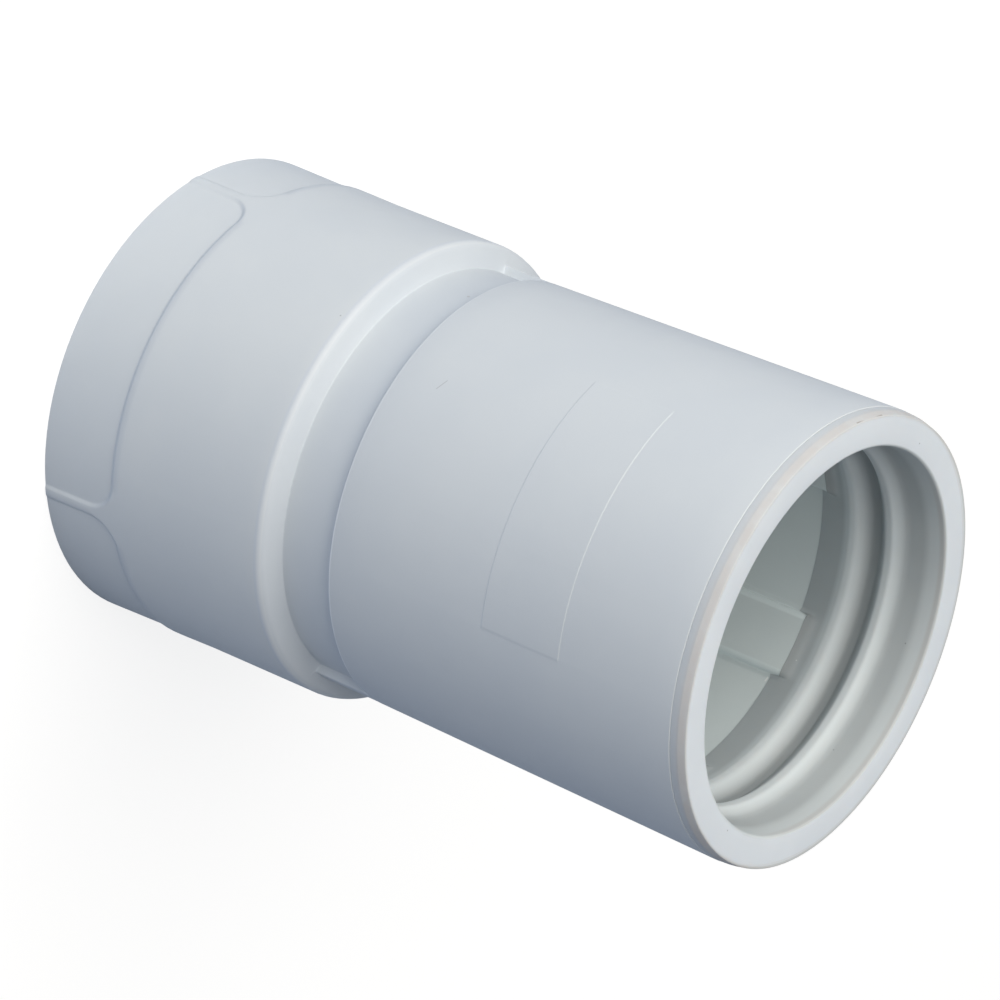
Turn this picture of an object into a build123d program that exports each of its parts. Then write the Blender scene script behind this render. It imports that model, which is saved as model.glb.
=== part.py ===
from build123d import *
from math import cos, degrees, radians, sin
import os

# Push-fit coupling for two lengths of rigid electrical conduit, all sizes in mm.
# It stands on its larger end: the rear mouth is at z = 0 and the front mouth is at the top, on the Z axis.
# The body is one hard moulding. A soft lining with two sealing lips is bonded into each end.

# Conduit, the radial clearance at a socket's pads and seat, and the height of the stop behind its end
conduit_d = 25.0
pad_clearance = 0.2
seat_clearance = 0.15
stop_height = 1.3

# Lengths of the body from the front mouth to the rear
barrel_length = 28.9
neck_length = 4.4
sleeve_length = 19.4

# Radial sizes of the body from the guide pads outwards
front_pad_height = 0.7
rear_pad_height = 1.4
lining_seat = 0.9
barrel_wall = 1.2
barrel_taper = 0.35
neck_recess = 0.6
rim_wall = 1.6
band_taper = 0.14
flare_rise = 0.08
sleeve_taper = 0.08

# Details of the sleeve, as lengths from the rear rim, and edge rounds
rear_band_length = 6.7
flare_length = 2.6
shoulder_drop = 0.45
neck_round = 0.15
shoulder_round = 0.6
rim_round = 0.12

# Lands that bridge the neck where the two halves of the mould part
land_count = 2
land_angle = 13.0

# Shallow grip panels round the rear band, with narrow ribs between them
panel_count = 4
panel_margin = 0.7
panel_depth = 0.16
panel_rim_depth = 0.13
panel_corner = 2.2
panel_rib_width = 0.8

# Bare label field on the barrel, as a mould insert leaves it
label_start = 10.0
label_length = 6.2
label_angle = 68.0
label_height = 0.06

# Inside of the body, as depths from each mouth and lengths along the axis
lining_depth = 10.0
notch_depth = 0.8
pad_count = 6
pad_angle = 20.3
pad_round = 0.35
front_seat_length = 5.0
neck_wall = 2.0
seat_lead_in = 0.8
stop_width = 2.0

# Soft linings, as radial clearances round the conduit and depths from each mouth
throat_clearance = 0.55
throat_depth = 1.45
mouth_flare = 0.17
mouth_round = 0.1
lip_count = 2
first_lip_depth = 2.95
lip_pitch = 2.81
lip_rise = 0.75
lip_crest = 0.5
lip_fall = 0.85
lip_round = 0.25
groove_clearance = 0.75
groove_round = 0.2
tail_clearance = 0.45
collar_length = 1.07
collar_round = 0.4

# Radii that follow, from the conduit outwards
ends = ("front", "rear")
lip_r = conduit_d / 2
pad_r = lip_r + pad_clearance
seat_r = lip_r + seat_clearance
stop_r = lip_r - stop_height
throat_r = lip_r + throat_clearance
mouth_r = throat_r + mouth_flare
groove_r = lip_r + groove_clearance
tail_r = lip_r + tail_clearance
wall_r = {"front": pad_r + front_pad_height, "rear": pad_r + rear_pad_height}
lining_r = {end: wall_r[end] + lining_seat for end in ends}
barrel_front_r = lining_r["front"] + barrel_wall
barrel_rear_r = barrel_front_r - barrel_taper
neck_r = barrel_rear_r - neck_recess
sleeve_rear_r = lining_r["rear"] + rim_wall
band_front_r = sleeve_rear_r - band_taper
sleeve_waist_r = band_front_r - flare_rise
sleeve_front_r = sleeve_waist_r - sleeve_taper

# Lengths and angles that follow
total_length = barrel_length + neck_length + sleeve_length
neck_top_z = sleeve_length + neck_length
socket_depth = (total_length - stop_width) / 2
seat_depth = {"front": socket_depth - front_seat_length, "rear": sleeve_length - neck_wall}
pad_front = lining_depth - notch_depth
panel_length = rear_band_length - panel_margin
panel_angle = 360 / panel_count - degrees(panel_rib_width / sleeve_rear_r)
front_angle = -90.0  # the label field faces -Y
bite = 0.3  # how far a block that is added or cut away reaches past the surface it meets
land_foot_z = sleeve_length - shoulder_drop - bite  # inside the sleeve, under its sloping shoulder


def section(end, angle=0.0):
    """Plane through the Z axis, whose x is the radius and whose y is the depth from one end's mouth."""
    turn = radians(angle)
    side = 1 if end == "rear" else -1
    height = 0 if end == "rear" else total_length
    return Plane(
        origin=(0, 0, height),
        x_dir=(cos(turn), sin(turn), 0),
        z_dir=(side * sin(turn), -side * cos(turn), 0),
    )


def outline(*corners):
    """Closed outline from rows of radius, depth and corner round."""
    FilletPolyline(*[row[:2] for row in corners], radius=[row[2] for row in corners], close=True)


def barrel_r(depth):
    """Radius of the tapered barrel at a depth from the front mouth."""
    return barrel_front_r - barrel_taper * depth / barrel_length


def lip_corners():
    """Corners of a lining's two sealing lips, from the throat inwards."""
    rows = []
    for index in range(lip_count):
        foot = first_lip_depth + index * lip_pitch
        crest = foot + lip_rise
        rows.append((groove_r if index else throat_r, foot, 0))
        rows.append((lip_r, crest, lip_round))
        rows.append((lip_r, crest + lip_crest, lip_round))
        rows.append((groove_r, crest + lip_crest + lip_fall, groove_round))
    return rows[:-1]


# Cutter for one grip panel, about the X axis, with rounded front corners
with BuildPart() as panel_cutter:
    with BuildSketch(section("rear", -panel_angle / 2)):
        with BuildLine():
            outline(
                (sleeve_rear_r - panel_rim_depth, -bite, 0),
                (sleeve_rear_r + bite, -bite, 0),
                (sleeve_rear_r + bite, panel_length, 0),
                (band_front_r - panel_depth, panel_length, 0),
            )
        make_face()
    revolve(axis=Axis.Z, revolution_arc=panel_angle)
    front_corners = panel_cutter.edges().filter_by(GeomType.LINE).group_by(Axis.Z)[-1]
    fillet(front_corners, panel_corner)

# One land in the neck, about the X axis, flush with the barrel
with BuildPart() as neck_land:
    with BuildSketch(section("rear", -land_angle / 2)):
        with BuildLine():
            outline(
                (neck_r - bite, land_foot_z, 0),
                (barrel_rear_r, land_foot_z, 0),
                (barrel_rear_r, neck_top_z, 0),
                (neck_r - bite, neck_top_z, 0),
            )
        make_face()
    revolve(axis=Axis.Z, revolution_arc=land_angle)

# One guide pad for each socket, about the X axis. Its front stands between the teeth of the soft lining.
pads = {}
for end in ends:
    with BuildPart() as pad:
        with BuildSketch(section(end, -pad_angle / 2)):
            with BuildLine():
                outline(
                    (pad_r, pad_front, 0),
                    (lining_r[end] + bite, pad_front, 0),
                    (lining_r[end] + bite, lining_depth + bite, 0),
                    (wall_r[end] + bite, lining_depth + bite, 0),
                    (wall_r[end] + bite, seat_depth[end], 0),
                    (pad_r, seat_depth[end], 0),
                )
            make_face()
        revolve(axis=Axis.Z, revolution_arc=pad_angle)
        long_edges = pad.edges().filter_by(Axis.Z).group_by(Axis.X)[0]
        fillet(long_edges, pad_round)
    pads[end] = pad.part

# Bare label field, about the X axis, following the barrel's taper
label_end = label_start + label_length
with BuildPart() as label_field:
    with BuildSketch(section("front", -label_angle / 2)):
        with BuildLine():
            outline(
                (barrel_r(label_start) - bite, label_start, 0),
                (barrel_r(label_start) + label_height, label_start, 0),
                (barrel_r(label_end) + label_height, label_end, 0),
                (barrel_r(label_end) - bite, label_end, 0),
            )
        make_face()
    revolve(axis=Axis.Z, revolution_arc=label_angle)

# Body: turned outside, with its lands, panels and label field, and a socket bored from each end to the stop
with BuildPart() as body:
    with BuildSketch(section("rear")):
        with BuildLine():
            outline(
                (0, 0, 0),
                (sleeve_rear_r, 0, rim_round),
                (band_front_r, rear_band_length, 0),
                (sleeve_waist_r, rear_band_length + flare_length, 0),
                (sleeve_front_r, sleeve_length - shoulder_drop, shoulder_round),
                (neck_r, sleeve_length, neck_round),
                (neck_r, neck_top_z, 0),
                (barrel_rear_r, neck_top_z, 0),
                (barrel_r(collar_length), total_length - collar_length, 0),
                (0, total_length - collar_length, 0),
            )
        make_face()
    revolve(axis=Axis.Z)
    with PolarLocations(0, land_count):
        add(neck_land.part)
    with PolarLocations(0, panel_count):
        add(panel_cutter.part, mode=Mode.SUBTRACT)
    with PolarLocations(0, 1, start_angle=front_angle):
        add(label_field.part)
    for end in ends:
        with BuildSketch(section(end)):
            with BuildLine():
                outline(
                    (0, -bite, 0),
                    (lining_r[end], -bite, 0),
                    (lining_r[end], lining_depth, 0),
                    (wall_r[end], lining_depth, 0),
                    (wall_r[end], seat_depth[end] - seat_lead_in, 0),
                    (seat_r, seat_depth[end], 0),
                    (seat_r, socket_depth, 0),
                    (0, socket_depth, 0),
                )
            make_face()
        revolve(axis=Axis.Z, mode=Mode.SUBTRACT)
        with PolarLocations(0, pad_count, start_angle=front_angle):
            add(pads[end])
    with BuildSketch():
        Circle(stop_r)
    extrude(amount=total_length, mode=Mode.SUBTRACT)
body.part.label = "body"

# Soft linings, notched for the fronts of the guide pads. The front one also forms the end face, as a collar.
rims = {
    "front": [
        (barrel_r(0), 0, collar_round),
        (barrel_r(collar_length), collar_length, 0),
        (lining_r["front"], collar_length, 0),
    ],
    "rear": [(lining_r["rear"], 0, 0)],
}
linings = {}
for end in ends:
    with BuildPart() as seal:
        with BuildSketch(section(end)):
            with BuildLine():
                outline(
                    *rims[end],
                    (lining_r[end], lining_depth, 0),
                    (tail_r, lining_depth, 0),
                    *reversed(lip_corners()),
                    (throat_r, throat_depth, 0),
                    (mouth_r, 0, mouth_round),
                )
            make_face()
        revolve(axis=Axis.Z)
        with PolarLocations(0, pad_count, start_angle=front_angle):
            add(pads[end], mode=Mode.SUBTRACT)
    seal.part.label = f"{end}_seal"
    linings[end] = seal.part

os.makedirs("parts", exist_ok=True)
for piece in (body.part, linings["front"], linings["rear"]):
    export_step(piece, f"parts/{piece.label}.step")
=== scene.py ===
from math import acos, cos, pi, radians, sin, tan

import bmesh
import bpy
import numpy as np
from mathutils import Matrix, Vector


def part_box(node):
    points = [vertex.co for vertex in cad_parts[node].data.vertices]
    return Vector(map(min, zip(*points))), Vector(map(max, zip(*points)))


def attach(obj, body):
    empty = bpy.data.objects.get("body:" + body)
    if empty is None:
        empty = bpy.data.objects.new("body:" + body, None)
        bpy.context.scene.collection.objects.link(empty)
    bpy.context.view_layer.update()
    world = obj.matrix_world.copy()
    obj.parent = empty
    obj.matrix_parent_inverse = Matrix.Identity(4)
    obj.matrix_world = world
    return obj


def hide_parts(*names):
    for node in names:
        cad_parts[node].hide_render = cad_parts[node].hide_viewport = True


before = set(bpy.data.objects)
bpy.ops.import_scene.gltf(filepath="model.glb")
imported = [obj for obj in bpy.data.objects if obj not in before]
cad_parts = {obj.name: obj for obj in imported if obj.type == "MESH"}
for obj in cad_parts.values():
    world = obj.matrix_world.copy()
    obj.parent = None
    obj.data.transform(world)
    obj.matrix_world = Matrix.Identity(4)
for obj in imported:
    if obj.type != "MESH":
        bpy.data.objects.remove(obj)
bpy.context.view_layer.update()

# The coupling stands on its rear mouth at z = 0, with its front mouth at the top. Sizes are in mm and angles
# in degrees, as in the solids.
MM = 0.001
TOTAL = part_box("front_seal")[1].z / MM
CONDUIT_R = 12.5
FRONT_ANGLE = -90.0  # the label field's side

# Outside of the body
SLEEVE_LENGTH = 19.4
NECK_LENGTH = 4.4
BARREL_FRONT_R = 15.5
BARREL_TAPER = 0.35
NECK_RECESS = 0.6
SLEEVE_REAR_R = 16.6
BAND_TAPER = 0.14
FLARE_RISE = 0.08
SLEEVE_TAPER = 0.08
REAR_BAND = 6.7
FLARE_LENGTH = 2.6
SHOULDER_DROP = 0.45
LAND_COUNT = 2
LAND_HALF_ANGLE = 6.5
LAND_MARGIN = 0.01  # how much wider than the barrel's rear end the shoulder is where the lands start
LAND_TRACE = 0.02  # share of its depth that a row of vertices keeps where a land lifts it, so that none meet
PANEL_COUNT = 4
PANEL_LENGTH = 6.0
PANEL_DEPTH = 0.16
PANEL_RIM_DEPTH = 0.13
PANEL_CORNER = 2.2
PANEL_RIB = 0.8
LABEL_START = 10.0
LABEL_LENGTH = 6.2
LABEL_HALF_ANGLE = 34.0
LABEL_HEIGHT = 0.026

# Inside of the body
PAD_R = 12.7
SEAT_R = 12.65
STOP_R = 11.2
STOP_WIDTH = 2.0
WALL_R = {"front": 13.4, "rear": 14.1}
LINING_R = {"front": 14.3, "rear": 15.0}
LINING_DEPTH = 10.0
NOTCH_DEPTH = 0.8
PAD_COUNT = 6
PAD_HALF_ANGLE = 10.15
PAD_ROUND = 0.5
LEAD_IN = 0.8
FRONT_SEAT_LENGTH = 5.0
NECK_WALL = 2.0

# Corner rounds of the body
RIM_ROUND = 0.12
SHOULDER_ROUND = 0.6
NECK_FOOT_ROUND = 0.12
NECK_TOP_ROUND = 0.03
BARREL_REAR_ROUND = 0.1
BARREL_FRONT_ROUND = 0.07
LEAD_ROUND = 0.3
SEAT_ROUND = 0.2
STOP_FOOT_ROUND = 0.1
STOP_ROUND = 0.15

# Widths over which a form blends into the surface beside it
PANEL_SOFT = 0.3
LAND_SOFT = 0.14
LABEL_SOFT_END = 0.3
LABEL_SOFT_SIDE = 0.08
PAD_SOFT = 0.3

# Soft linings, with a little more curve than the solids have
THROAT_R = 13.05
THROAT_DEPTH = 1.45
THROAT_ROUND = 2.0
MOUTH_FLARE = 0.1
MOUTH_ROUND = 0.2
GROOVE_R = 13.3
TAIL_R = 13.37
REAR_EDGE_ROUND = 0.05
COLLAR_LENGTH = 1.07
COLLAR_EDGE_R = 15.24
COLLAR_DEPTHS = (0, 0.5, COLLAR_LENGTH)
COLLAR_RADII = (COLLAR_EDGE_R, 15.43, 15.457)
COLLAR_ROUNDS = (0.1, 0.5, 0.04)
LIPS = (  # corners of the two sealing lips from the throat inwards, as radius, depth and round
    (THROAT_R, 3.0, 1.2),
    (CONDUIT_R, 3.8, 0.45),
    (CONDUIT_R, 4.36, 0.4),
    (GROOVE_R, 5.2, 0.3),
    (GROOVE_R, 5.8, 0.5),
    (CONDUIT_R, 6.68, 0.6),
    (CONDUIT_R, 7.22, 1.0),
)

# On its far side, where the sine of the angle is large enough, the collar is fuller, all but a narrow foot.
# Its edge then rises to one radius over a short width.
COLLAR_FULL_R = BARREL_FRONT_R - 0.04
COLLAR_FULL_FROM = 0.15
COLLAR_FULL_SOFT = 0.9
COLLAR_EDGE_WIDTH = 0.2
COLLAR_FOOT = 0.1

# At the guide pads the lining's tail narrows to their radius over these depths, and ends just short of them
TAIL_FROM = 8.0
TAIL_MIDDLE = 8.6
TAIL_SOFT = 1.2
TAIL_GAP = 0.01
TOOTH_GAP = 0.02

# Heights, radii and depths that follow
NECK_TOP = SLEEVE_LENGTH + NECK_LENGTH
BARREL_LENGTH = TOTAL - NECK_TOP
BARREL_REAR_R = BARREL_FRONT_R - BARREL_TAPER
NECK_R = BARREL_REAR_R - NECK_RECESS
BAND_FRONT_R = SLEEVE_REAR_R - BAND_TAPER
SLEEVE_WAIST_R = BAND_FRONT_R - FLARE_RISE
SLEEVE_FRONT_R = SLEEVE_WAIST_R - SLEEVE_TAPER
SOCKET_DEPTH = (TOTAL - STOP_WIDTH) / 2
SEAT_DEPTH = {"front": SOCKET_DEPTH - FRONT_SEAT_LENGTH, "rear": SLEEVE_LENGTH - NECK_WALL}
PAD_FRONT = LINING_DEPTH - NOTCH_DEPTH
LAND_FOOT_R = BARREL_REAR_R + LAND_MARGIN
LAND_FOOT_Z = SLEEVE_LENGTH - SHOULDER_DROP * (LAND_FOOT_R - NECK_R) / (SLEEVE_FRONT_R - NECK_R)

# How finely the meshes are divided: columns round the axis, steps and reaches across edges, and heights and
# depths of extra rows
BODY_COLUMNS = 120
LINING_COLUMNS = 144
EDGE_STEP = 0.1
LAND_REACH = 0.08
LABEL_REACH = 0.06
LABEL_STEP = 0.02
PAD_ROUND_SHARES = (1.3, 1.0, 0.75, 0.5, 0.25, 0.1, 0.0)
PAD_FOOT_ANGLES = (0.3, 0.6, 0.9, 1.2, 1.5, 1.8)
OUTSIDE_ROWS = [
    0.5, 1.5, 2.5, 3.5, 7.5, 8.4, 12.0, 15.0, 17.5, 21.0, 22.5,
    26.0, 29.0, 32.0, 35.0, 38.0, 40.5, 44.5, 47.0, 49.5,
]
SOCKET_ROWS = [5.0, 12.0, 15.0, 21.0, 23.5, 29.5, 31.0, 35.0, 38.0, 41.0, 48.0]
LINING_ROWS = [5.0, 8.2, 8.4, 8.6, 8.8, 9.0, PAD_FRONT - TOOTH_GAP, PAD_FRONT + 2 * TOOTH_GAP]
TOUCH = 0.001  # within this, two places are the same
PAD_FROM = 0.3  # share of a pad's height from which a column counts as pad
SMOOTH_BELOW = 50  # the sharpest angle between faces that is shaded smooth

# The camera stands where the photograph was taken from, in mm, with its right and forward directions
CAMERA_AT = (22.085, -265.787, 194.849)
CAMERA_RIGHT = (-0.42179, 0.46114, 0.78067)
CAMERA_FORWARD = (-0.07126, 0.84148, -0.53557)
CAMERA_LENS = 170.776
SENSOR = 36.0

# The lamp's direction, distance and width in metres, strength in W for each square metre, and colour
LAMP_TOWARDS = (-0.43, -0.56, 0.74)
LAMP_DISTANCE = 0.6
LAMP_WIDTH = 0.85
LAMP_STRENGTH = 7.88
LAMP_COLOUR = (1.0, 0.954, 0.872)

# Floor and world, as they light the coupling and as the camera sees them
FLOOR_REACH = 3000.0
FLOOR_GAP = 0.02
FLOOR_LIGHT = (0.41, 0.482, 0.635, 1)
FLOOR_SEEN = (0.3, 0.3, 0.3, 1)
FLOOR_GLOW = 0.8
WORLD_LIGHT = (0.168, 0.185, 0.211, 1)
WHITE = (1, 1, 1, 1)

# The three runs of the body's section
OUTSIDE, FRONT, REAR = 0, 1, 2

# Colours. Those that start with DIM or CLOUDY multiply another, and so do those that paint shade, light and
# highlights on the neck, barrel, shoulder, pads and teeth.
HARD_PALE = (0.70, 0.735, 0.75, 1)
HARD_SHADE = (0.685, 0.722, 0.742, 1)
EDGE_HIGHLIGHT = (0.9, 0.925, 0.94, 1)
NECK_PAINTED_LIGHT = (1.13, 1.12, 1.1, 1)
NECK_PAINTED_SHADE = (0.935, 0.947, 0.97, 1)
BARREL_PAINTED_SHADE = (0.97, 0.973, 0.98, 1)
DIM_BORE = (0.95, 1.0, 1.0, 1)
SHOULDER_PAINTED_COOL_SHADE = (0.975, 0.983, 1.012, 1)
PAD_EDGE_PAINTED_HIGHLIGHT = (1.14, 1.14, 1.14, 1)
SOFT_FACE = (0.76, 0.815, 0.878, 1)
# The collar's side, painted darker than the end face as shade
SOFT_SIDE_SHADED = (0.625, 0.655, 0.67, 1)
SOFT_INSIDE = (0.68, 0.735, 0.765, 1)
TEETH_PAINTED_SHADE = (0.68, 0.68, 0.68, 1)
CLOUDY_SOFT = (0.97, 0.972, 0.975, 1)
WARM_EDGE = (0.58, 0.56, 0.548, 1)
MOUTH_LINE = (0.45, 0.43, 0.42, 1)

# Where the hard plastic's tone changes: ranges of radius, height, x and depth in mm and of pad_wave. A third
# number is the width of a stripe's soft edges.
OUTER_RADII = (14.25, 14.4)
# Painted highlight on the barrel's rear edge: its radii, heights, range of x and strengths
EDGE_HIGHLIGHT_RADII = (BARREL_REAR_R - 0.2, BARREL_REAR_R - 0.1)
EDGE_HIGHLIGHT_HEIGHTS = (NECK_TOP + 0.05, NECK_TOP + 0.12, 0.05)
EDGE_HIGHLIGHT_X = (0.0, 9.0)
EDGE_HIGHLIGHT_STRENGTHS = (0.3, 0.9)
NECK_HEIGHTS = (SLEEVE_LENGTH - 0.45, NECK_TOP - 0.05, 0.08)
SHOULDER_HEIGHTS = (SLEEVE_LENGTH - 0.9, SLEEVE_LENGTH - 0.05, 0.2)
# Painted light on the neck just under the barrel's step: heights, fade-out and range of x
NECK_LIGHT_HEIGHTS = (NECK_TOP - 0.25, NECK_TOP, 0.4)
NECK_LIGHT_END = (NECK_TOP, NECK_TOP + 0.03)
NECK_LIGHT_X = (2.0, 11.0)
BARREL_HEIGHTS = (NECK_TOP - 0.05, NECK_TOP)
# Painted highlight on the pads' long edges: depths and range of pad_wave
PAD_DEPTHS = (9.0, 9.2)
PAD_EDGE_WAVE = (0.50, 0.62, 0.05)

# Where the lining's tone changes, in the same way
FAR_Y = (1.0, 8.0)
FACE_RADII = (13.2, 13.4)
FACE_DEPTHS = (0.5, 0.15)
SIDE_RADII = (15.12, 15.28)
# Painted shade on the lining's teeth: depths and range of pad_wave
TEETH_DEPTHS = (8.9, 9.3, 0.7)
TEETH_WAVE = (0.42, 0.54)
WARM_DEPTHS = (0.12, 0.35, 0.42)
WARM_RADII = (14.98, 15.34)
WARM_PATCH_RANGE = (0.25, 0.6)
WARM_STRENGTHS = (0.25, 0.75)
CREASE_RADII = (15.08, 15.12, 0.05)
CREASE_STRENGTH = 0.3
RIM_RADII = (13.12, 13.2, 0.06)
RIM_DEPTHS = (0.6, 0.3)
RIM_STRENGTH = 0.4

# Ranges of the noise that make clouds of tone and patches of gloss, and how far the gloss differs
CLOUD = (0.35, 0.65)
GLOSS = (0.3, 0.7)
GLOSS_SPREAD = 0.05

# Painted shade inside a lining: how pale it is against its depth from the mouth, darkest in the groove
INSIDE_REACH = 12.0
INSIDE_SHADE_LEVELS = (
    (0.0, 0.92), (0.4, 0.88), (1.1, 0.84), (1.7, 0.68), (3.0, 0.68), (3.6, 0.92), (4.3, 0.95), (4.9, 0.64),
    (5.3, 0.52), (5.75, 0.5), (6.3, 0.8), (7.0, 1.0), (7.5, 1.0), (7.9, 0.8), (9.2, 0.8), (12.0, 0.8),
)

# Specks, which have a start only, and small scratches, from a start to an end. Each place is an angle, a radius
# and a height. Then come half width, colour and strength. A mark fades between two shares of its half width.
MARK_FADE = (0.5, 1.3)
DARK = (0.12, 0.12, 0.13)
BROWN = (0.30, 0.25, 0.22)
PALE = (0.9, 0.92, 0.92)
HARD_MARKS = (
    ((-106.2, 15.19, 27.04), (-109.2, 15.19, 27.38), 0.03, DARK, 0.35),
    ((-112.6, 16.3, 7.56), None, 0.07, DARK, 0.5),
    ((-58.6, 16.3, 3.10), None, 0.07, DARK, 0.5),
    ((-123.8, 15.5, 19.41), None, 0.06, DARK, 0.4),
    ((-112.7, 16.3, 18.15), None, 0.06, DARK, 0.4),
    ((-140.3, 14.55, 22.71), None, 0.12, BROWN, 0.3),
    ((100.4, 13.41, 42.54), (98.6, 13.41, 42.5), 0.07, PALE, 0.8),
    ((77.6, 13.41, 42.51), (78.8, 13.41, 42.55), 0.07, PALE, 0.8),
)
SOFT_MARKS = (
    ((-70.0, 15.42, 52.55), None, 0.07, DARK, 0.9),
    ((-179.3, 13.98, 52.7), None, 0.06, DARK, 0.5),
    ((-7.8, 13.69, 52.7), None, 0.06, DARK, 0.5),
    ((-145.9, 15.27, 52.6), (-156.5, 15.27, 52.6), 0.05, BROWN, 0.7),
    ((103.1, 13.05, 51.09), None, 0.06, DARK, 0.5),
    ((86.2, 12.86, 44.15), None, 0.06, PALE, 0.8),
    ((65.4, 13.02, 49.98), None, 0.06, DARK, 0.5),
)


def barrel_r(depth):
    """Radius of the tapered barrel at a depth from the front mouth."""
    return BARREL_FRONT_R - BARREL_TAPER * depth / BARREL_LENGTH


def rounded(rows, steps=6):
    """Open outline through rows of radius, height and corner round, with its round corners as arcs."""
    points = [rows[0][:2]]
    for before, here, after in zip(rows, rows[1:], rows[2:]):
        if not here[2]:
            points.append(here[:2])
            continue
        corner = Vector(here[:2])
        back = (Vector(before[:2]) - corner).normalized()
        ahead = (Vector(after[:2]) - corner).normalized()
        half = acos(max(-1.0, min(1.0, back.dot(ahead)))) / 2
        centre = corner + (back + ahead).normalized() * here[2] / sin(half)
        start = corner + back * here[2] / tan(half) - centre
        turn = (pi - 2 * half) * (1 if back.x * ahead.y - back.y * ahead.x < 0 else -1)
        for k in range(steps + 1):
            point = centre + Matrix.Rotation(turn * k / steps, 2) @ start
            points.append((point.x, point.y))
    points.append(rows[-1][:2])
    return points


def cut_at(points, heights, gap=0.03):
    """The same outline with a point added wherever a sloping or upright run crosses one of the heights."""
    result = [points[0]]
    for (r0, z0), (r1, z1) in zip(points, points[1:]):
        inside = [z for z in heights if min(z0, z1) + gap < z < max(z0, z1) - gap]
        for z in sorted(inside, reverse=z1 < z0):
            share = (z - z0) / (z1 - z0)
            result.append((r0 + (r1 - r0) * share, z))
        result.append((r1, z1))
    return result


def spread(centre, reach, step):
    """Values at even steps from centre - reach to centre + reach."""
    count = max(1, round(reach / step))
    return [centre + reach * k / count for k in range(-count, count + 1)]


def angles_around(base, extra, nearest=0.03, clear=0.48):
    """Sorted angles in degrees: the extra ones, and the even base ones that don't crowd them."""
    fine = np.unique(np.round(np.mod(extra, 360), 4))
    keep = [fine[0]]
    for angle in fine[1:]:
        if angle - keep[-1] > nearest:
            keep.append(angle)
    coarse = np.arange(base) * 360 / base
    away = np.abs((coarse[:, None] - np.array(keep)[None] + 180) % 360 - 180).min(1)
    return np.sort(np.concatenate([keep, coarse[away > clear]]))


def ramp(distance, width):
    """Smooth step: 1 where distance is below -width / 2, 0 where it is above width / 2."""
    t = np.clip(0.5 - distance / width, 0, 1)
    return t * t * (3 - 2 * t)


def off_centre(angle, count, first):
    """Angle in degrees from the nearest of count evenly spaced centres, the first at first."""
    pitch = 360 / count
    return (angle - first + pitch / 2) % pitch - pitch / 2


def lathe(name, rings, zones, angles, shape):
    """Closed mesh with a ring of vertices for each point of a closed section, each vertex placed by shape."""
    r = np.array([p[0] for p in rings])[:, None]
    z = np.array([p[1] for p in rings])[:, None]
    zone = np.array(zones)[:, None]
    radius, height = shape(r, z, zone, angles[None])
    theta = np.radians(angles)[None]
    corners = np.stack([radius * np.cos(theta), radius * np.sin(theta), height + 0 * theta], -1) * MM
    rows, columns = radius.shape
    index = np.arange(rows * columns).reshape(rows, columns)
    below = np.roll(index, -1, 0)
    faces = np.stack([index, np.roll(index, -1, 1), np.roll(below, -1, 1), below], -1).reshape(-1, 4)
    mesh = bpy.data.meshes.new(name)
    mesh.from_pydata(corners.reshape(-1, 3).tolist(), [], faces.tolist())
    shell = bmesh.new()
    shell.from_mesh(mesh)
    bmesh.ops.recalc_face_normals(shell, faces=shell.faces)
    shell.to_mesh(mesh)
    shell.free()
    mesh.shade_smooth()
    mesh.set_sharp_from_angle(angle=radians(SMOOTH_BELOW))
    piece = bpy.data.objects.new(name, mesh)
    bpy.context.scene.collection.objects.link(piece)
    return piece


def pad_share(angle):
    """How far a pad stands up at an angle, from 0 on the wall to 1 on its top, with rounded long edges."""
    side = PAD_R * np.radians(np.abs(off_centre(angle, PAD_COUNT, FRONT_ANGLE)))
    half = PAD_R * radians(PAD_HALF_ANGLE)
    height = WALL_R["front"] - PAD_R
    over = np.clip(side - (half - PAD_ROUND), 0, PAD_ROUND)
    crown = 1 - (PAD_ROUND - np.sqrt(PAD_ROUND ** 2 - over ** 2)) / height
    return np.where(side < half, crown, crown * ramp(side - half - PAD_SOFT / 2, PAD_SOFT))


def panel_share(angle, z):
    """1 on the floor of a grip panel and 0 beside it, with a soft edge."""
    half = SLEEVE_REAR_R * radians(180 / PANEL_COUNT) - PANEL_RIB / 2
    side = SLEEVE_REAR_R * np.radians(np.abs(off_centre(angle, PANEL_COUNT, 0)))
    x = side - (half - PANEL_CORNER)
    y = z - (PANEL_LENGTH - PANEL_CORNER)
    corner = np.hypot(np.maximum(x, 0), np.maximum(y, 0))
    distance = corner + np.minimum(np.maximum(x, y), 0) - PANEL_CORNER
    return ramp(distance, PANEL_SOFT)


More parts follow.
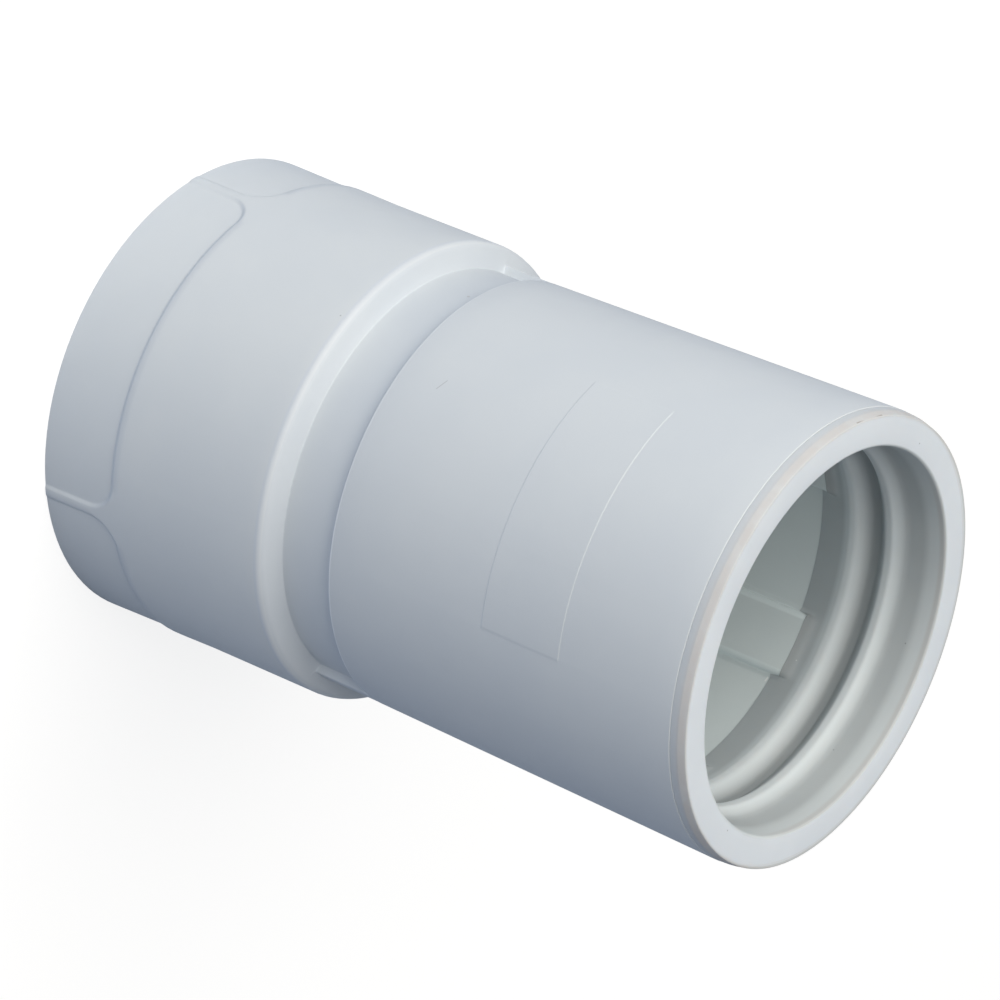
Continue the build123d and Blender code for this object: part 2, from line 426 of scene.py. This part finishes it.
def body_shape(r, z, zone, angle):
    """Places the body's vertices: panels, lands and label field outside, guide pads inside."""
    radius = r + 0 * angle
    height = z + 0 * angle
    outside = zone == OUTSIDE

    rim_r = SLEEVE_REAR_R - PANEL_RIM_DEPTH
    panel_r = rim_r + (BAND_FRONT_R - PANEL_DEPTH - rim_r) * np.clip(z / PANEL_LENGTH, 0, 1)
    sunk = np.maximum(r - panel_r, 0) * panel_share(angle, z)
    radius = np.where(outside & (z < REAR_BAND), radius - sunk, radius)

    land_side = NECK_R * np.radians(np.abs(off_centre(angle, LAND_COUNT, 0)) - LAND_HALF_ANGLE)
    neck = outside & (z > LAND_FOOT_Z + TOUCH) & (z < NECK_TOP + TOUCH) & (r < BARREL_REAR_R)
    land_r = BARREL_REAR_R - LAND_TRACE * (BARREL_REAR_R - r)
    radius = np.where(neck, radius + (land_r - r) * ramp(land_side, LAND_SOFT), radius)

    label_side = BARREL_FRONT_R * np.radians(np.abs(off_centre(angle, 1, FRONT_ANGLE)) - LABEL_HALF_ANGLE)
    label_up = np.abs(TOTAL - z - LABEL_START - LABEL_LENGTH / 2) - LABEL_LENGTH / 2
    label = ramp(label_side, LABEL_SOFT_END) * ramp(label_up, LABEL_SOFT_SIDE)
    radius = np.where(outside & (z > NECK_TOP), radius + LABEL_HEIGHT * label, radius)

    pad = pad_share(angle)
    for end, here in (("front", FRONT), ("rear", REAR)):
        deep = TOTAL - z if end == "front" else z
        inside = (zone == here) & (deep > LINING_DEPTH - TOUCH) & (deep < SEAT_DEPTH[end] + TOUCH)
        on_wall = inside & (r < WALL_R[end] + TOUCH)
        radius = np.where(on_wall, radius - np.maximum(r - PAD_R, 0) * pad, radius)
        ledge = inside & (deep < LINING_DEPTH + TOUCH)
        toward_mouth = NOTCH_DEPTH if end == "front" else -NOTCH_DEPTH
        height = np.where(ledge, height + toward_mouth * (pad > PAD_FROM), height)
    return radius, height


def body_rings():
    """Closed section of the body: up the outside from the rear rim, then down through both sockets."""
    outside = rounded([
        (LINING_R["rear"], 0, 0),
        (SLEEVE_REAR_R, 0, RIM_ROUND),
        (BAND_FRONT_R, REAR_BAND, 0),
        (SLEEVE_WAIST_R, REAR_BAND + FLARE_LENGTH, 0),
        (SLEEVE_FRONT_R, SLEEVE_LENGTH - SHOULDER_DROP, SHOULDER_ROUND),
        (LAND_FOOT_R, LAND_FOOT_Z, 0),
        (NECK_R, SLEEVE_LENGTH, NECK_FOOT_ROUND),
        (NECK_R, NECK_TOP, NECK_TOP_ROUND),
        (BARREL_REAR_R, NECK_TOP, BARREL_REAR_ROUND),
        (barrel_r(COLLAR_LENGTH), TOTAL - COLLAR_LENGTH, BARREL_FRONT_ROUND),
        (LINING_R["front"], TOTAL - COLLAR_LENGTH, 0),
    ])
    corner_middle = PANEL_LENGTH - PANEL_CORNER / 2
    label_top = TOTAL - LABEL_START
    heights = OUTSIDE_ROWS + spread(corner_middle, PANEL_CORNER / 2 + PANEL_SOFT / 2, EDGE_STEP)
    heights += spread(label_top, LABEL_REACH, LABEL_STEP)
    heights += spread(label_top - LABEL_LENGTH, LABEL_REACH, LABEL_STEP)
    outside = cut_at(outside, heights)
    stop_top = TOTAL - SOCKET_DEPTH
    stop_middle = (STOP_R, stop_top - STOP_WIDTH / 2, 0)
    front = rounded([
        (LINING_R["front"], TOTAL - COLLAR_LENGTH, 0),
        (LINING_R["front"], TOTAL - LINING_DEPTH, 0),
        (WALL_R["front"], TOTAL - LINING_DEPTH, 0),
        (WALL_R["front"], TOTAL - SEAT_DEPTH["front"] + LEAD_IN, LEAD_ROUND),
        (SEAT_R, TOTAL - SEAT_DEPTH["front"], SEAT_ROUND),
        (SEAT_R, stop_top, STOP_FOOT_ROUND),
        (STOP_R, stop_top, STOP_ROUND),
        stop_middle,
    ], steps=4)
    rear = rounded([
        stop_middle,
        (STOP_R, SOCKET_DEPTH, STOP_ROUND),
        (SEAT_R, SOCKET_DEPTH, STOP_FOOT_ROUND),
        (SEAT_R, SEAT_DEPTH["rear"], SEAT_ROUND),
        (WALL_R["rear"], SEAT_DEPTH["rear"] - LEAD_IN, LEAD_ROUND),
        (WALL_R["rear"], LINING_DEPTH, 0),
        (LINING_R["rear"], LINING_DEPTH, 0),
        (LINING_R["rear"], 0, 0),
    ], steps=4)
    front = cut_at(front, SOCKET_ROWS)
    rear = cut_at(rear, SOCKET_ROWS)
    rings = outside + front[1:] + rear[1:-1]
    zones = [OUTSIDE] * len(outside) + [FRONT] * (len(front) - 1) + [REAR] * (len(rear) - 2)
    return rings, zones


def pad_angles():
    """Angles at which the pads' edges need columns of vertices."""
    round_angle = np.degrees(PAD_ROUND / PAD_R)
    offsets = [PAD_HALF_ANGLE - round_angle * share for share in PAD_ROUND_SHARES]
    offsets += [PAD_HALF_ANGLE + foot for foot in PAD_FOOT_ANGLES]
    middles = [FRONT_ANGLE + 360 / PAD_COUNT * k for k in range(PAD_COUNT)]
    return [middle + side * offset for middle in middles for side in (-1, 1) for offset in offsets]


def build_body():
    """The hard moulding, with every edge and form of the real one."""
    rib_half = np.degrees((PANEL_RIB / 2) / SLEEVE_REAR_R)
    corner = np.degrees(PANEL_CORNER / SLEEVE_REAR_R)
    panel_edge = np.degrees(PANEL_SOFT / 2 / SLEEVE_REAR_R)
    land_edge = np.degrees(LAND_REACH / NECK_R)
    label_edge = np.degrees(LABEL_SOFT_END / 2 / BARREL_FRONT_R)
    extra = pad_angles()
    for side in (-1, 1):
        for rib in range(PANEL_COUNT):
            middle = (rib + 0.5) * 360 / PANEL_COUNT + side * (rib_half + corner / 2)
            extra += spread(middle, corner / 2 + panel_edge, np.degrees(EDGE_STEP / SLEEVE_REAR_R))
        for land in range(LAND_COUNT):
            extra += spread(land * 360 / LAND_COUNT + side * LAND_HALF_ANGLE, land_edge, land_edge / 2)
        extra += spread(FRONT_ANGLE + side * LABEL_HALF_ANGLE, label_edge, label_edge / 3)
    rings, zones = body_rings()
    return lathe("coupling_body", rings, zones, angles_around(BODY_COLUMNS, extra), body_shape)


def lining_shape(end):
    """Places a lining's vertices: notched for the pads at its inner end, and flush with their fronts."""
    tooth = PAD_FRONT - TOOTH_GAP
    tooth_z = TOTAL - tooth if end == "front" else tooth

    def shape(r, z, zone, angle):
        deep = TOTAL - z if end == "front" else z
        pad = pad_share(angle)
        height = np.where((pad > PAD_FROM) & (deep > PAD_FRONT), tooth_z, z + 0 * angle)
        flush = np.maximum(r - PAD_R - TAIL_GAP, 0) * pad * ramp(TAIL_MIDDLE - deep, TAIL_SOFT)
        tail = (r < TAIL_R + TAIL_GAP) & (deep > TAIL_FROM)
        radius = np.where(tail, r - flush, r + 0 * angle)
        far = ramp(COLLAR_FULL_FROM - np.sin(np.radians(angle)), COLLAR_FULL_SOFT)
        fuller = COLLAR_FULL_R - np.interp(deep, COLLAR_DEPTHS, COLLAR_RADII)
        inner_r = COLLAR_EDGE_R - COLLAR_EDGE_WIDTH
        share = np.clip((r - inner_r) / COLLAR_EDGE_WIDTH, 0, 1)
        collar = (end == "front") & (r > inner_r) & (deep < COLLAR_LENGTH - COLLAR_FOOT)
        return np.where(collar, radius + far * fuller * share, radius), height
    return shape


def build_lining(end):
    """A soft lining with its two lips. The front one also forms the end face and a collar."""
    outer = {
        "front": [*zip(COLLAR_RADII, COLLAR_DEPTHS, COLLAR_ROUNDS), (LINING_R["front"], COLLAR_LENGTH, 0)],
        "rear": [(LINING_R["rear"], 0, REAR_EDGE_ROUND)],
    }[end]
    middle = (THROAT_R + MOUTH_FLARE + outer[0][0]) / 2
    points = rounded([
        (middle, 0, 0),
        *outer,
        (LINING_R[end], LINING_DEPTH, 0),
        (TAIL_R, LINING_DEPTH, 0),
        *reversed(LIPS),
        (THROAT_R, THROAT_DEPTH, THROAT_ROUND),
        (THROAT_R + MOUTH_FLARE, 0, MOUTH_ROUND),
        (middle, 0, 0),
    ])[:-1]
    points = cut_at(points, LINING_ROWS, gap=0.01)
    rings = [(r, TOTAL - depth if end == "front" else depth) for r, depth in points]
    angles = angles_around(LINING_COLUMNS, pad_angles())
    return lathe(f"{end}_lining", rings, [0] * len(rings), angles, lining_shape(end))


def add_node(tree, kind, inputs=None, **settings):
    """A shader node with its settings, and with its inputs set or linked."""
    node = tree.nodes.new(kind)
    for key, value in settings.items():
        setattr(node, key, value)
    for key, value in (inputs or {}).items():
        if isinstance(value, bpy.types.NodeSocket):
            tree.links.new(value, node.inputs[key])
        else:
            node.inputs[key].default_value = value
    return node


def noise(tree, place, scale, detail=2.0, rough=0.5):
    """Noise value over the surface, with its scale in features per mm."""
    settings = {"Vector": place, "Scale": scale, "Detail": detail, "Roughness": rough}
    return add_node(tree, "ShaderNodeTexNoise", settings).outputs["Fac"]


def between(tree, value, low, high, new_low, new_high):
    """The value carried from one range to another."""
    settings = {"Value": value, "From Min": low, "From Max": high, "To Min": new_low, "To Max": new_high}
    return add_node(tree, "ShaderNodeMapRange", settings).outputs["Result"]


def step_up(tree, value, low, high, start=0.0, end=1.0):
    """A smooth change from start at low to end at high. Low may be the larger of the two."""
    settings = {"Value": value, "From Min": low, "From Max": high, "To Min": start, "To Max": end}
    return add_node(tree, "ShaderNodeMapRange", settings, interpolation_type="SMOOTHSTEP").outputs["Result"]


def maths(tree, operation, *values):
    """A sum or other operation on numbers."""
    return add_node(tree, "ShaderNodeMath", dict(enumerate(values)), operation=operation).outputs[0]


def product(tree, first, *others):
    """Masks and strengths multiplied together."""
    for other in others:
        first = maths(tree, "MULTIPLY", first, other)
    return first


def inverse(tree, mask):
    """1 where a mask is 0, and 0 where it is 1."""
    return maths(tree, "SUBTRACT", 1.0, mask)


def stripe(tree, value, low, high, soft):
    """1 from low to high and 0 elsewhere, with soft edges."""
    rise = step_up(tree, value, low - soft, low)
    fall = step_up(tree, value, high, high + soft)
    return maths(tree, "SUBTRACT", rise, fall)


def vectors(tree, operation, output, *values):
    """An operation on places, with the named output."""
    node = add_node(tree, "ShaderNodeVectorMath", dict(enumerate(values)), operation=operation)
    return node.outputs[output]


def scaled(tree, place, factor):
    """A place or direction times a number."""
    return add_node(tree, "ShaderNodeVectorMath", {0: place, "Scale": factor}, operation="SCALE").outputs[0]


def mixed(tree, factor, first, second, blend="MIX"):
    """A colour with another over it, as far as factor says."""
    inputs = {0: factor, 6: first, 7: second}
    return add_node(tree, "ShaderNodeMix", inputs, data_type="RGBA", blend_type=blend).outputs[2]


def times(tree, first, second, factor=1.0):
    """A colour multiplied by another."""
    return mixed(tree, factor, first, second, "MULTIPLY")


def levels(tree, value, reach, rows):
    """Grey that follows rows of value and level, for values from 0 to reach."""
    node = add_node(tree, "ShaderNodeValToRGB", {"Fac": maths(tree, "DIVIDE", value, reach)})
    stops = node.color_ramp.elements
    while len(stops) < len(rows):
        stops.new(1.0)
    for stop, row in zip(stops, rows):
        stop.position = row[0] / reach
    for stop, row in zip(stops, rows):
        stop.color = (row[1], row[1], row[1], 1)
    return node.outputs["Color"]


def axis_of(tree, place, axis):
    """One coordinate of a place, in mm."""
    return add_node(tree, "ShaderNodeSeparateXYZ", {"Vector": place}).outputs[axis]


def from_axis(tree, place):
    """Distance from the coupling's axis, in mm."""
    return vectors(tree, "LENGTH", "Value", vectors(tree, "MULTIPLY", "Vector", place, (1, 1, 0)))


def from_mouth(tree, height):
    """Depth from the nearer mouth, in mm."""
    off_middle = maths(tree, "ABSOLUTE", maths(tree, "SUBTRACT", height, TOTAL / 2))
    return maths(tree, "SUBTRACT", TOTAL / 2, off_middle)


def pad_wave(tree, place):
    """A wave round the axis, 1 at the middle of each guide pad and -1 midway between two."""
    angle = maths(tree, "ARCTAN2", axis_of(tree, place, "Y"), axis_of(tree, place, "X"))
    wave = maths(tree, "COSINE", maths(tree, "MULTIPLY", angle, PAD_COUNT))
    return maths(tree, "MULTIPLY", wave, -1.0)


def spot(angle, radius, height):
    """A place from its angle in degrees, radius and height, in mm."""
    return Vector((radius * cos(radians(angle)), radius * sin(radians(angle)), height))


def marked(tree, place, colour, marks):
    """The colour with small marks on it, each a speck at one place or a scratch from one place to another."""
    for start, end, width, tint, strength in marks:
        start = spot(*start)
        away = vectors(tree, "SUBTRACT", "Vector", place, tuple(start))
        if end:
            run = spot(*end) - start
            along = vectors(tree, "DOT_PRODUCT", "Value", away, tuple(run / run.length_squared))
            along = add_node(tree, "ShaderNodeClamp", {"Value": along}).outputs[0]
            away = vectors(tree, "SUBTRACT", "Vector", away, scaled(tree, tuple(run), along))
        distance = vectors(tree, "LENGTH", "Value", away)
        share = step_up(tree, distance, width * MARK_FADE[0], width * MARK_FADE[1], strength, 0.0)
        colour = mixed(tree, share, colour, (*tint, 1))
    return colour


def moulded(name, roughness, grain):
    """Moulded surface: a little uneven in gloss, with a fine grain and faint flow waves."""
    material = bpy.data.materials.new(name)
    material.use_nodes = True
    tree = material.node_tree
    shader = tree.nodes["Principled BSDF"]
    place = scaled(tree, add_node(tree, "ShaderNodeTexCoord").outputs["Object"], 1 / MM)
    patches = noise(tree, place, scale=0.9, detail=4.0)
    gloss = between(tree, patches, *GLOSS, roughness - GLOSS_SPREAD, roughness + GLOSS_SPREAD)
    fine = add_node(tree, "ShaderNodeBump", {
        "Height": noise(tree, place, scale=7.0, detail=3.0, rough=0.6),
        "Strength": 0.12,
        "Distance": grain * MM,
    })
    waves = add_node(tree, "ShaderNodeBump", {
        "Height": noise(tree, place, scale=0.35, detail=1.0),
        "Strength": 0.25,
        "Distance": 0.05 * MM,
        "Normal": fine.outputs["Normal"],
    })
    tree.links.new(gloss, shader.inputs["Roughness"])
    tree.links.new(waves.outputs["Normal"], shader.inputs["Normal"])
    return material, tree, shader, place


def hard_plastic():
    """Pale cool grey hard plastic, satin, with a few specks.

    Barrel, neck and shoulder carry painted shade, and the bore differs a little in tone. The barrel's rear edge
    has a painted highlight line and the neck beside it painted light, both clearer towards +X, and the pads'
    long edges carry painted highlights.
    """
    material, tree, shader, place = moulded("hard_plastic", roughness=0.5, grain=0.02)
    radius = from_axis(tree, place)
    height = axis_of(tree, place, "Z")
    toward_x = axis_of(tree, place, "X")
    outer = step_up(tree, radius, *OUTER_RADII)
    bore = inverse(tree, outer)

    cloud = step_up(tree, noise(tree, place, scale=0.16, detail=3.0), *CLOUD)
    colour = mixed(tree, cloud, HARD_PALE, HARD_SHADE)
    # Painted highlight: a pale line along the barrel's rear edge, stronger towards +X
    highlight_side = between(tree, step_up(tree, toward_x, *EDGE_HIGHLIGHT_X), 0, 1, *EDGE_HIGHLIGHT_STRENGTHS)
    edge = product(tree, stripe(tree, height, *EDGE_HIGHLIGHT_HEIGHTS), step_up(tree, radius, *EDGE_HIGHLIGHT_RADII), highlight_side)
    colour = mixed(tree, edge, colour, EDGE_HIGHLIGHT)

    # Painted shade: the neck is a little darker and bluer
    neck = stripe(tree, height, *NECK_HEIGHTS)
    colour = times(tree, colour, NECK_PAINTED_SHADE, product(tree, neck, outer))
    # Painted shade: the shoulder's face is a little darker and cooler
    shoulder = stripe(tree, height, *SHOULDER_HEIGHTS)
    colour = times(tree, colour, SHOULDER_PAINTED_COOL_SHADE, product(tree, shoulder, outer))
    # Painted light: the neck just under the barrel's step is paler, stronger towards +X
    neck_light = product(tree, stripe(tree, height, *NECK_LIGHT_HEIGHTS), outer)
    neck_light = product(tree, neck_light, step_up(tree, toward_x, *NECK_LIGHT_X))
    neck_light = product(tree, neck_light, between(tree, height, *NECK_LIGHT_END, 1, 0))
    colour = times(tree, colour, NECK_PAINTED_LIGHT, neck_light)
    # Painted shade: the barrel is a touch darker than the sleeve
    barrel = step_up(tree, height, *BARREL_HEIGHTS)
    colour = times(tree, colour, BARREL_PAINTED_SHADE, product(tree, barrel, outer))

    colour = times(tree, colour, DIM_BORE, bore)
    among_pads = product(tree, bore, step_up(tree, from_mouth(tree, height), *PAD_DEPTHS))
    # Painted highlight: the pads' long edges are paler
    pad_highlight = product(tree, stripe(tree, pad_wave(tree, place), *PAD_EDGE_WAVE), among_pads)
    colour = times(tree, colour, PAD_EDGE_PAINTED_HIGHLIGHT, pad_highlight)
    colour = marked(tree, place, colour, HARD_MARKS)
    tree.links.new(colour, shader.inputs["Base Color"])
    shader.inputs["Specular IOR Level"].default_value = 0.4
    return material


def soft_seal():
    """Pale grey elastomer, matte, and greyer inside the mouth, in the groove and on the teeth.

    The greyer inside, groove and teeth are painted shade, and the collar's side is painted darker than the end
    face.
    The collar has a warm band in patches along its edge on the label's side, and a thin brown crease on the far
    side. The mouth's rim has a thin brown line there too.
    """
    material, tree, shader, place = moulded("soft_seal", roughness=0.6, grain=0.03)
    radius = from_axis(tree, place)
    depth = from_mouth(tree, axis_of(tree, place, "Z"))
    far = step_up(tree, axis_of(tree, place, "Y"), *FAR_Y)

    # Painted shade: the inside of the mouth is greyer by depth, darkest in the groove between the lips
    inside = times(tree, SOFT_INSIDE, levels(tree, depth, INSIDE_REACH, INSIDE_SHADE_LEVELS))
    # Painted shade on the lining's teeth in front of the guide pads
    on_pads = step_up(tree, pad_wave(tree, place), *TEETH_WAVE)
    inside = times(tree, inside, TEETH_PAINTED_SHADE, product(tree, on_pads, stripe(tree, depth, *TEETH_DEPTHS)))
    face = product(tree, step_up(tree, radius, *FACE_RADII), step_up(tree, depth, *FACE_DEPTHS))
    colour = mixed(tree, face, inside, SOFT_FACE)
    # Painted shade: the collar's side is darker than the end face of the same elastomer
    colour = mixed(tree, step_up(tree, radius, *SIDE_RADII), colour, SOFT_SIDE_SHADED)

    warm_patches = step_up(tree, noise(tree, place, scale=0.45, detail=3.0, rough=0.6), *WARM_PATCH_RANGE)
    warm = product(tree, stripe(tree, depth, *WARM_DEPTHS), step_up(tree, radius, *WARM_RADII))
    warm = product(tree, warm, between(tree, warm_patches, 0, 1, *WARM_STRENGTHS), inverse(tree, far))
    colour = mixed(tree, warm, colour, WARM_EDGE)
    crease = product(tree, stripe(tree, radius, *CREASE_RADII), far, CREASE_STRENGTH)
    colour = mixed(tree, crease, colour, WARM_EDGE)
    rim = product(tree, stripe(tree, radius, *RIM_RADII), step_up(tree, depth, *RIM_DEPTHS))
    colour = mixed(tree, product(tree, rim, far, RIM_STRENGTH), colour, MOUTH_LINE)

    cloud = step_up(tree, noise(tree, place, scale=0.2, detail=3.0), *CLOUD)
    colour = times(tree, colour, CLOUDY_SOFT, cloud)
    colour = marked(tree, place, colour, SOFT_MARKS)
    tree.links.new(colour, shader.inputs["Base Color"])
    shader.inputs["Specular IOR Level"].default_value = 0.35
    shader.inputs["Subsurface Weight"].default_value = 0.15
    shader.inputs["Subsurface Radius"].default_value = (1.0, 0.75, 0.6)
    shader.inputs["Subsurface Scale"].default_value = 0.3 * MM
    return material


def two_ways(tree, output_kind, light, seen):
    """Ends a tree with one shader for the light on the coupling and another for the camera."""
    rays = add_node(tree, "ShaderNodeLightPath")
    choose = add_node(tree, "ShaderNodeMixShader", {
        0: rays.outputs["Is Camera Ray"], 1: light.outputs[0], 2: seen.outputs[0],
    })
    add_node(tree, output_kind, {"Surface": choose.outputs[0]})


def build_floor():
    """Pale floor under the coupling, white to the camera, with the coupling's shadow on it."""
    reach = FLOOR_REACH * MM
    corners = [(-reach, -reach, 0), (reach, -reach, 0), (reach, reach, 0), (-reach, reach, 0)]
    mesh = bpy.data.meshes.new("floor")
    mesh.from_pydata(corners, [], [(0, 1, 2, 3)])
    floor = bpy.data.objects.new("floor", mesh)
    bpy.context.scene.collection.objects.link(floor)
    floor.location.z = -FLOOR_GAP * MM
    material = bpy.data.materials.new("pale_floor")
    material.use_nodes = True
    tree = material.node_tree
    tree.nodes.clear()
    light = add_node(tree, "ShaderNodeBsdfDiffuse", {"Color": FLOOR_LIGHT})
    pale = add_node(tree, "ShaderNodeBsdfDiffuse", {"Color": FLOOR_SEEN})
    glow = add_node(tree, "ShaderNodeEmission", {"Color": WHITE, "Strength": FLOOR_GLOW})
    seen = add_node(tree, "ShaderNodeAddShader", {0: pale.outputs[0], 1: glow.outputs[0]})
    two_ways(tree, "ShaderNodeOutputMaterial", light, seen)
    mesh.materials.append(material)


def build_world():
    """A plain world, cool and dim as light, and white to the camera."""
    world = bpy.data.worlds.new("studio")
    bpy.context.scene.world = world
    world.use_nodes = True
    tree = world.node_tree
    tree.nodes.clear()
    light = add_node(tree, "ShaderNodeBackground", {"Color": WORLD_LIGHT, "Strength": 1.0})
    seen = add_node(tree, "ShaderNodeBackground", {"Color": WHITE, "Strength": 1.0})
    two_ways(tree, "ShaderNodeOutputWorld", light, seen)


def build_lamp():
    """One square area lamp, facing the coupling's middle."""
    lamp = bpy.data.lights.new("key", "AREA")
    lamp.shape = "SQUARE"
    lamp.size = LAMP_WIDTH
    lamp.energy = LAMP_STRENGTH * LAMP_WIDTH ** 2
    lamp.color = LAMP_COLOUR
    holder = bpy.data.objects.new("key", lamp)
    direction = Vector(LAMP_TOWARDS).normalized()
    holder.location = Vector((0, 0, TOTAL * MM / 2)) + direction * LAMP_DISTANCE
    holder.rotation_euler = direction.to_track_quat("Z", "Y").to_euler()
    bpy.context.scene.collection.objects.link(holder)


def build_camera():
    """The camera, at the photograph's place and angle."""
    data = bpy.data.cameras.new("camera")
    data.lens = CAMERA_LENS
    data.sensor_width = SENSOR
    data.clip_start = 0.01
    camera = bpy.data.objects.new("camera", data)
    right = Vector(CAMERA_RIGHT).normalized()
    forward = Vector(CAMERA_FORWARD).normalized()
    up = right.cross(forward)
    turn = Matrix((right, up, -forward)).transposed().to_4x4()
    camera.matrix_world = Matrix.Translation(Vector(CAMERA_AT) * MM) @ turn
    bpy.context.scene.collection.objects.link(camera)
    bpy.context.scene.camera = camera


bpy.context.scene.view_settings.view_transform = "Standard"
build_camera()
build_floor()
build_world()
build_lamp()

hard, soft = hard_plastic(), soft_seal()
for piece, node, slot, material in (
    (build_body(), "body", "hard_plastic", hard),
    (build_lining("front"), "front_seal", "soft_seal", soft),
    (build_lining("rear"), "rear_seal", "soft_seal", soft),
):
    piece.data.materials.append(material)
    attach(piece, "root")
    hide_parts(node)
